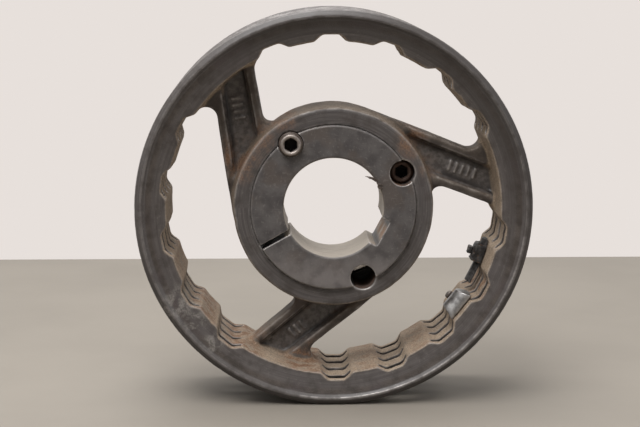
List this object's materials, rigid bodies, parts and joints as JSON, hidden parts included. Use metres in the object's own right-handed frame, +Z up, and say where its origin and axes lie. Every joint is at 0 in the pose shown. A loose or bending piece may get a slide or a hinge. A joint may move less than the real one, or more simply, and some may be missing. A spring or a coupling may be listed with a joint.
{
  "type": "v belt pulley",
  "caption": "Cast iron V belt pulley with grooved rim, swept channelled arms, pocketed inner rim, and a split taper bush with keyway and set screws.",
  "frame": {"origin": "on the pulley's axis, half way across the rim, inside the bush's bore", "axes": "+Y along the axis, from the front face, which shows the bush's big end, to the rear; +Z up; +X to the right seen from the front"},
  "size_m": [0.257, 0.082, 0.257],
  "materials": {
    "casting_iron": "worn dark oiled iron with brown rust in the recesses",
    "bush_iron": "ground dark iron with fine scratches",
    "screw_steel": "dull steel with rust",
    "bright_steel": "bright dented steel",
    "dark_steel": "black lumpy steel"
  },
  "bodies": {
    "casting": {"hub": "casting_iron", "arm_1": "casting_iron", "arm_2": "casting_iron", "arm_3": "casting_iron", "rim_bed": "casting_iron", "front_flange": "casting_iron", "rim_ridge_1": "casting_iron", "rim_ridge_2": "casting_iron", "rim_ridge_3": "casting_iron", "rear_flange": "casting_iron", "bright_weight": "bright_steel", "bright_weight_stud": "screw_steel", "dark_weight": "dark_steel", "dark_weight_clamp": "dark_steel", "dark_weight_stud": "dark_steel"},
    "bush": {"taper_bush": "bush_iron"},
    "clamp_screw": {"clamp_screw": "screw_steel"},
    "jacking_screw": {"jacking_screw": "screw_steel"}
  },
  "joints": [
    {"name": "bush_out", "type": "slide", "parent": "casting", "child": "bush", "axis": [0, -1, 0], "range_m": [0, 0.06]},
    {"name": "clamp_screw_travel", "type": "slide", "parent": "bush", "child": "clamp_screw", "axis": [0, -1, 0], "range_m": [-0.009, 0.034]},
    {"name": "jacking_screw_travel", "type": "slide", "parent": "bush", "child": "jacking_screw", "axis": [0, -1, 0], "range_m": [0, 0.046]}
  ]
}
